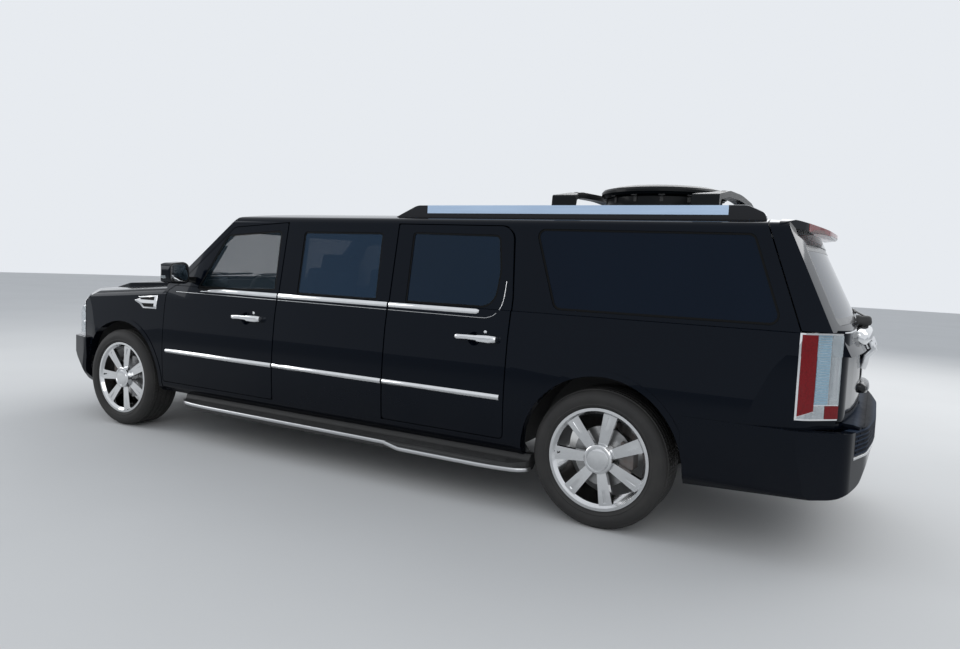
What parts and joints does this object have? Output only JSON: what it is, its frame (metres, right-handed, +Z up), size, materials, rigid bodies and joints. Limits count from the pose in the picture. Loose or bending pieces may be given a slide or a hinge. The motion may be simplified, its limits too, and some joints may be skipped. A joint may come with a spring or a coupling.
{
  "type": "stretch limousine",
  "caption": "Long estate-bodied limousine with a fixed middle panel, opening doors, hood and liftgate, steered front wheels, roof rails and a round roof dome.",
  "frame": {"origin": "on the ground under the middle of the vehicle's length and width", "axes": "+X forward along the vehicle, +Y to its left, +Z up"},
  "size_m": [6.576, 2.4336, 2.051],
  "materials": {
    "body_paint": "gloss black with clear coat",
    "frame_paint": "satin black chassis paint",
    "floor_paint": "satin underbody coating",
    "windscreen_glass": "clear laminated glass",
    "side_glass": "tinted glass",
    "privacy_glass": "deep tinted glass",
    "blank_panel": "polished black blanking panel",
    "wheel_chrome": "chromed alloy",
    "bright_trim": "chrome",
    "tyre_rubber": "matt rubber",
    "cast_metal": "machined cast iron",
    "exhaust_steel": "stainless steel, lightly stained",
    "black_plastic": "grained black plastic",
    "gloss_black": "polished black plastic",
    "clear_lamp": "clear lens",
    "red_lamp": "red and clear lens",
    "rail_silver": "satin silver",
    "seat_leather": "dark leather",
    "cabin_plastic": "grained cabin trim"
  },
  "bodies": {
    "body": {"chassis_frame": "frame_paint", "floor_pan": "floor_paint", "side_frames": "body_paint", "stretch_panels": "body_paint", "stretch_glass": "privacy_glass", "rear_quarters": "body_paint", "quarter_glass": "blank_panel", "front_fenders": "body_paint", "wheel_liners": "black_plastic", "roof_panel": "body_paint", "cowl_panel": "black_plastic", "front_bumper": "body_paint", "rear_bumper": "body_paint", "grille": "bright_trim", "headlamps": "clear_lamp", "tail_lamps": "red_lamp", "windscreen": "windscreen_glass", "running_boards": "black_plastic", "roof_rails": "rail_silver", "roof_crossbars": "gloss_black", "roof_dome": "gloss_black", "engine_block": "cast_metal", "driveline": "cast_metal", "rear_axle": "cast_metal", "front_suspension": "cast_metal", "exhaust": "exhaust_steel", "dashboard": "cabin_plastic", "steering_wheel": "seat_leather", "front_seats": "seat_leather", "rear_seats": "seat_leather"},
    "hood": {"hood": "body_paint"},
    "liftgate": {"liftgate": "body_paint", "liftgate_glass": "privacy_glass"},
    "door_front_left": {"door_front_left": "body_paint", "door_glass_front_left": "side_glass", "mirror_left": "body_paint"},
    "door_rear_left": {"door_rear_left": "body_paint", "door_glass_rear_left": "privacy_glass"},
    "knuckle_left": {"knuckle_left": "cast_metal"},
    "wheel_front_left": {"wheel_front_left": "wheel_chrome", "tyre_front_left": "tyre_rubber", "brake_disc_front_left": "cast_metal"},
    "wheel_rear_left": {"wheel_rear_left": "wheel_chrome", "tyre_rear_left": "tyre_rubber", "brake_disc_rear_left": "cast_metal"},
    "door_front_right": {"door_front_right": "body_paint", "door_glass_front_right": "side_glass", "mirror_right": "body_paint"},
    "door_rear_right": {"door_rear_right": "body_paint", "door_glass_rear_right": "privacy_glass"},
    "knuckle_right": {"knuckle_right": "cast_metal"},
    "wheel_front_right": {"wheel_front_right": "wheel_chrome", "tyre_front_right": "tyre_rubber", "brake_disc_front_right": "cast_metal"},
    "wheel_rear_right": {"wheel_rear_right": "wheel_chrome", "tyre_rear_right": "tyre_rubber", "brake_disc_rear_right": "cast_metal"}
  },
  "joints": [
    {"name": "hood_hinge", "type": "hinge", "parent": "body", "child": "hood", "pos_m": [1.887, 0, 1.232], "axis": [0, -1, 0], "range_deg": [0, 50]},
    {"name": "liftgate_hinge", "type": "hinge", "parent": "body", "child": "liftgate", "pos_m": [-2.711, 0, 1.806], "axis": [0, 1, 0], "range_deg": [0, 80]},
    {"name": "door_front_left_hinge", "type": "hinge", "parent": "body", "child": "door_front_left", "pos_m": [1.772, 1.0065, 0.7], "axis": [0, 0.0436, -0.999], "range_deg": [0, 65]},
    {"name": "door_rear_left_hinge", "type": "hinge", "parent": "body", "child": "door_rear_left", "pos_m": [-0.409, 1.0065, 0.7], "axis": [0, 0.0436, -0.999], "range_deg": [0, 68]},
    {"name": "steer_left", "type": "hinge", "parent": "body", "child": "knuckle_left", "pos_m": [2.303, 0.797, 0.404], "axis": [0, 0, 1], "range_deg": [-35, 35]},
    {"name": "wheel_front_left_spin", "type": "hinge", "parent": "knuckle_left", "child": "wheel_front_left", "pos_m": [2.303, 0.866, 0.404], "axis": [0, 1, 0], "continuous": true},
    {"name": "wheel_rear_left_spin", "type": "hinge", "parent": "body", "child": "wheel_rear_left", "pos_m": [-1.913, 0.851, 0.404], "axis": [0, 1, 0], "continuous": true},
    {"name": "door_front_right_hinge", "type": "hinge", "parent": "body", "child": "door_front_right", "pos_m": [1.772, -1.0065, 0.7], "axis": [0, 0.0436, 0.999], "range_deg": [0, 65]},
    {"name": "door_rear_right_hinge", "type": "hinge", "parent": "body", "child": "door_rear_right", "pos_m": [-0.409, -1.0065, 0.7], "axis": [0, 0.0436, 0.999], "range_deg": [0, 68]},
    {"name": "steer_right", "type": "hinge", "parent": "body", "child": "knuckle_right", "pos_m": [2.303, -0.797, 0.404], "axis": [0, 0, 1], "range_deg": [-35, 35]},
    {"name": "wheel_front_right_spin", "type": "hinge", "parent": "knuckle_right", "child": "wheel_front_right", "pos_m": [2.303, -0.866, 0.404], "axis": [0, 1, 0], "continuous": true},
    {"name": "wheel_rear_right_spin", "type": "hinge", "parent": "body", "child": "wheel_rear_right", "pos_m": [-1.913, -0.851, 0.404], "axis": [0, 1, 0], "continuous": true}
  ],
  "couplings": [
    {"joint": "steer_right", "follows": "steer_left", "ratio": 1}
  ]
}
